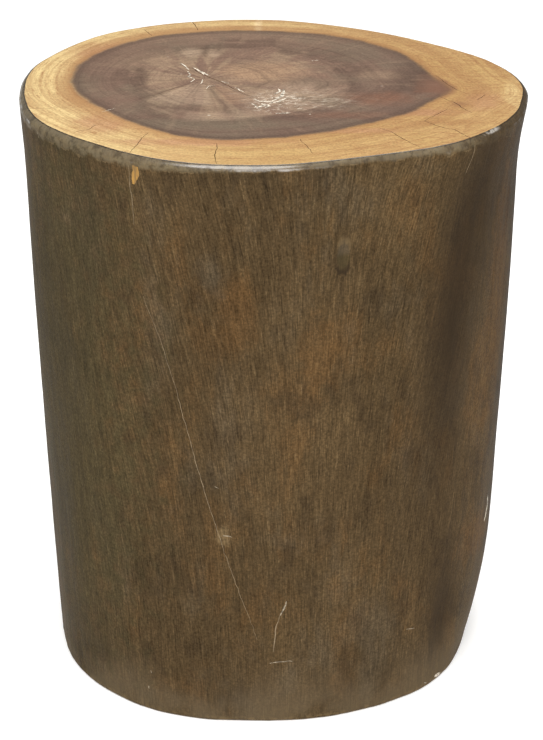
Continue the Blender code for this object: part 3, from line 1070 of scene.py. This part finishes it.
def stained_side(graph, ring_count):
    """Dark stained side with its lacquered rim, and painted shade, sheen and bounce light laid into its
    colour.
    """
    place = graph.place()
    z = place.parts()[2]
    below = HEIGHT - z
    stain = graph.group("Stain", {"Grain": graph.attribute("grain"), "Place": place})
    hollow = graph.attribute("hollow", "Fac")
    # Painted shade in the flute and the hollows, in the dark stain colour
    colour = stain["Colour"].under("dark_stain_and_shade", hollow * 0.88)
    chart = graph.attribute("chart")
    rightward = chart.parts()[0]
    spot = spot_masks(graph, chart, place.noise(85, 3, 0.6).sway(1.6),
                      lambda middle: on_chart(middle[0], middle[1] / 1000))
    for middle, halves, name, strength in SIDE_SPOTS:
        share = spot(middle, halves) * strength
        colour = colour.under(graph.scaled(name, stain["Shade"]), share)
    # Paler towards the foot: partly painted bounce light from the pale floor, partly dust
    dusty = z.ramp(0.06, 0.0) * place.noise(20, 3, 0.6).ramp(0.3, 0.6)
    colour = colour.under("dust", dusty * 0.6)
    colour = with_knot(graph, colour, place, chart)

    # Rim band: darker lacquer, greyed and widened towards the sides as painted sheen
    edge = place.noise(90, 4, 0.65)
    aside = graph.math("ABSOLUTE", rightward - 0.04)
    depth = below + edge.sway(aside.ramp(0.04, 0.16, 0.007, 0.016))
    under_rim = depth - aside.ramp(0.04, 0.16, 0.0030, 0.0090)
    rim = under_rim.ramp(0.0022, -0.0022) * rightward.ramp(0.12, 0.18, 1, 0.2)
    grime = place.noise(260, 3, 0.65)
    rim_lacquer_and_sheen = graph.mix(grime.ramp(0.4, 0.7, 0, 0.4), "rim", "worn_stain_and_highlight")
    rim_lacquer_and_sheen = rim_lacquer_and_sheen.under("dark_stain_and_shade", place.noise(150, 4, 0.7).ramp(0.46, 0.62, 0, 0.60))
    colour = colour.under(rim_lacquer_and_sheen, rim * edge.ramp(0.35, 0.65, 0.50, 0.88))
    flecks = under_rim.ramp(0.0002, 0.0008) * under_rim.ramp(0.0018, 0.001)
    flecks = flecks * place.noise(110, 3, 0.7).ramp(0.50, 0.62)
    colour = colour.under("worn_stain_and_highlight", flecks * 0.55)
    worn = below + grime.sway(0.0012)
    colour = colour.under("dark_stain_and_shade", worn.ramp(0.0007, 0.0003, 0, 0.7))
    colour = colour.under("scuff", spot(*SCUFF) * grime.ramp(0.40, 0.58) * 0.42)
    worn_foot = z.ramp(0.006, 0.001) * grime.ramp(0.45, 0.6)
    graph.shade({
        "Base Color": colour.under("worn_stain_and_highlight", worn_foot * 0.5),
        "Roughness": rim.ramp(0, 1, stain["Height"].ramp(0.3, 0.7, 0.45, 0.65), 0.35),
        "IOR": 1.3,
        "Specular IOR Level": 0.04,
        "Coat Weight": depth.ramp(0.0045, 0.002, 0, 0.8) * rightward.ramp(0.12, 0.18, 1, 0.4),
        "Coat Roughness": 0.2,
        "Coat IOR": 1.9,
        "Normal": stain["Height"].bump(rim.ramp(0, 1, 0.6, 0.05), 0.0006),
    })


def sawn_foot(graph, ring_count):
    """Raw sawn underside, with rings and straight saw marks."""
    place = graph.place()
    x, y = place.parts()[:2]
    spoke = graph.join(x, y, 0.0) - tuple(PITH * FOOT_SHARE)
    growth = graph.attribute("growth")
    given = {"Growth": growth, "Spoke": spoke, "Rings": ring_count, "Run": 0.5}
    line = graph.group("Growth rings", given)["Line"]
    outside = growth.parts()[2]
    grime = place.noise(22, 4, 0.6)
    saw = graph.join(x * 420, y * 9, 0.0).noise(1, 3, 0.6)
    colour = graph.mix(outside.ramp(-0.003, 0.003), "heart_rose", "sawn")
    colour = colour.under("heart_line", line * 0.5)
    colour = colour.under("stain_grey", grime.ramp(0.4, 0.7, 0, 0.5))
    colour = colour.under("sawn", saw.ramp(0.5, 0.7, 0, 0.3))
    normal = line.bump(0.3, 0.0004, saw.bump(0.6, 0.0006))
    graph.shade({"Base Color": colour, "Roughness": 0.85, "Normal": normal})


def check_wall(graph, ring_count):
    """Raw dark wood inside the drying checks, with painted shade deeper down."""
    place = graph.place()
    below = HEIGHT - place.parts()[2]
    torn = (place * (1, 1, 0.2)).noise(600, 2, 0.6)
    colour = graph.mix(torn.ramp(0.3, 0.7), "heart_line", "sap_line")
    # Painted shade, darker the deeper the check
    colour = colour.under("check_bottom_shade", below.ramp(0.0, 0.003, 0.1, 0.85))
    graph.shade({"Base Color": colour, "Roughness": 0.9, "Normal": torn.bump(0.5, 0.0004)})


def pale_scratch(graph, ring_count):
    """Scratch through the finish, pale on the top and low on the right, and duller elsewhere."""
    place = graph.place()
    x, y, z = place.parts()
    fresh = graph.math("MAXIMUM", z.ramp(HEIGHT - 0.003, HEIGHT - 0.001), x.ramp(0.11, 0.13))
    pale = graph.mix(fresh, "scratch_dull", "scratch")
    broken = place.noise(330, 2, 0.6).ramp(0.42, 0.62, 0.9, 0.15)
    graph.shade({"Base Color": graph.mix(broken, "stain_grey", pale), "Roughness": 0.7})


def bare_chip(graph, ring_count):
    """Bare wood where the stain has chipped off."""
    broken = (graph.place() * (1, 1, 0.2)).noise(420, 2, 0.6).ramp(0.4, 0.65, 0, 0.6)
    graph.shade({"Base Color": graph.mix(broken, "bare", "stain"), "Roughness": 0.7})


def worn_line(graph, ring_count):
    """Thin line where the stain is rubbed through."""
    broken = graph.place().noise(200, 2, 0.6).ramp(0.42, 0.62, 0.05, 0.7)
    graph.shade({"Base Color": graph.mix(broken, "worn", "stain"), "Roughness": 0.7})


def new_material(name):
    material = bpy.data.materials.new(name)
    material.use_nodes = True
    return material, Graph(material.node_tree)


def finishes(ring_count):
    """The finishes, in the order of their numbers, each named for the function that makes it."""
    for make in (growth_group, speck_group, spot_group, wedge_group, fibre_group, stain_group):
        make()
    materials = []
    for make in (polished_top, stained_side, sawn_foot, check_wall, pale_scratch, bare_chip, worn_line):
        material, graph = new_material(make.__name__)
        make(graph, ring_count)
        materials.append(material)
    return materials


# Stage

CAMERA_PLACE = (-0.0012, -1.9237, 1.0599)
CAMERA_PITCH = 66.48
CAMERA_LENS = 128.8
# Lamps: place, width in metres and power in watts
LIGHTS = {
    "key": ((-1.1, -1.0, 2.7), 0.8, 4),
    "front": ((0.4, -2.7, 1.9), 2.4, 72),
    "top": ((-0.15, -0.6, 2.2), 1.35, 25),
    "back": ((0.1, 1.6, 2.8), 2.0, 20),
}
LAMP_COLOUR = (1.0, 0.99, 0.97)
WORLD_SEEN = 0.92
WORLD_LIGHT = 0.66
WORLD_SHEEN = 0.18
FLOOR_SIZE = 12
FLOOR_DROP = 0.0004
AIM_SHARE = 0.7
# The floor gives off a little light, so that it stays pale far from the lamps
FLOOR_GLOW = 0.2


def add_floor():
    bpy.ops.mesh.primitive_plane_add(size=FLOOR_SIZE, location=(0, 0, -FLOOR_DROP))
    floor = bpy.context.object
    floor.name = "floor"
    material, graph = new_material("pale_floor")
    graph.shade({"Base Color": (0.95, 0.95, 0.95), "Roughness": 0.9, "Emission Color": (1, 1, 1),
                 "Emission Strength": FLOOR_GLOW})
    floor.data.materials.append(material)
    floor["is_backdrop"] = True


def add_light(name, place, size, power):
    data = bpy.data.lights.new(name, "AREA")
    data.shape = "DISK"
    data.size = size
    data.energy = power
    data.color = LAMP_COLOUR
    light = bpy.data.objects.new(name, data)
    light.location = place
    aim = Vector((0, 0, HEIGHT * AIM_SHARE)) - Vector(place)
    light.rotation_euler = aim.to_track_quat("-Z", "Y").to_euler()
    bpy.context.scene.collection.objects.link(light)


def add_world():
    """White to the camera, softer as a light, and faint in reflections."""
    world = bpy.data.worlds.new("studio")
    bpy.context.scene.world = world
    world.use_nodes = True
    graph = Graph(world.node_tree)
    path = graph.outputs(graph.node("LightPath", {}))
    strength = path["Is Glossy Ray"].ramp(0, 1, WORLD_LIGHT, WORLD_SHEEN)
    strength = path["Is Camera Ray"].ramp(0, 1, strength, WORLD_SEEN)
    graph.fill(world.node_tree.nodes["Background"], {"Color": (1, 1, 1), "Strength": strength})


def add_camera():
    data = bpy.data.cameras.new("camera")
    data.lens = CAMERA_LENS
    data.sensor_width = 36
    camera = bpy.data.objects.new("camera", data)
    camera.location = CAMERA_PLACE
    camera.rotation_euler = (math.radians(CAMERA_PITCH), 0, 0)
    bpy.context.scene.collection.objects.link(camera)
    bpy.context.scene.camera = camera


# Operators and panel

class BuildStumpWood(bpy.types.Operator):
    """Builds the stump's one piece of wood, with its rim, drying checks and finishes"""

    bl_idname = "object.build_stump_wood"
    bl_label = "Stump wood"
    bl_options = {"REGISTER", "UNDO"}

    def execute(self, context):
        sizes = context.scene.stump_sizes
        piece = bpy.data.objects.new(PIECE, stump_mesh(sizes))
        context.scene.collection.objects.link(piece)
        materials = finishes(sizes.ring_count)
        for material in materials:
            piece.data.materials.append(material)
        cut_wood(piece, sizes.check_depth)
        dress_mesh(piece.data)
        if len(piece.data.materials) != len(materials):
            raise RuntimeError("the stump lost a finish when its checks were cut")
        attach(piece, "root")
        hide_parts(NODE)
        return {"FINISHED"}


class BuildStumpStage(bpy.types.Operator):
    """Builds the pale floor, the soft studio light and the camera"""

    bl_idname = "scene.build_stump_stage"
    bl_label = "Studio stage"
    bl_options = {"REGISTER", "UNDO"}

    def execute(self, context):
        add_floor()
        for name, light in LIGHTS.items():
            add_light(name, *light)
        add_world()
        add_camera()
        context.scene.view_settings.view_transform = "Standard"
        return {"FINISHED"}


class StumpPanel(bpy.types.Panel):
    """Buttons and values of the stump riser"""

    bl_idname = "VIEW3D_PT_stump_riser"
    bl_label = "Stump riser"
    bl_space_type = "VIEW_3D"
    bl_region_type = "UI"
    bl_category = "Stump riser"

    def draw(self, context):
        for values in (context.scene.stump_sizes, context.scene.stump_colours):
            for name in values.__annotations__:
                self.layout.prop(values, name)
        for operator in OPERATORS:
            self.layout.operator(operator.bl_idname)


OPERATORS = (BuildStumpWood, BuildStumpStage)
CLASSES = (StumpSizes, StumpColours, *OPERATORS, StumpPanel)


def register():
    for made in CLASSES:
        bpy.utils.register_class(made)
    bpy.types.Scene.stump_sizes = bpy.props.PointerProperty(type=StumpSizes)
    bpy.types.Scene.stump_colours = bpy.props.PointerProperty(type=StumpColours)


def unregister():
    del bpy.types.Scene.stump_colours
    del bpy.types.Scene.stump_sizes
    for made in reversed(CLASSES):
        bpy.utils.unregister_class(made)


def corners():
    """Lowest and highest corner of what is shown, as plain lists."""
    return [list(corner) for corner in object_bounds()]


def main():
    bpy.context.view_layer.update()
    register()
    bpy.ops.object.build_stump_wood()
    bpy.ops.scene.build_stump_stage()


if __name__ == "__main__":
    main()
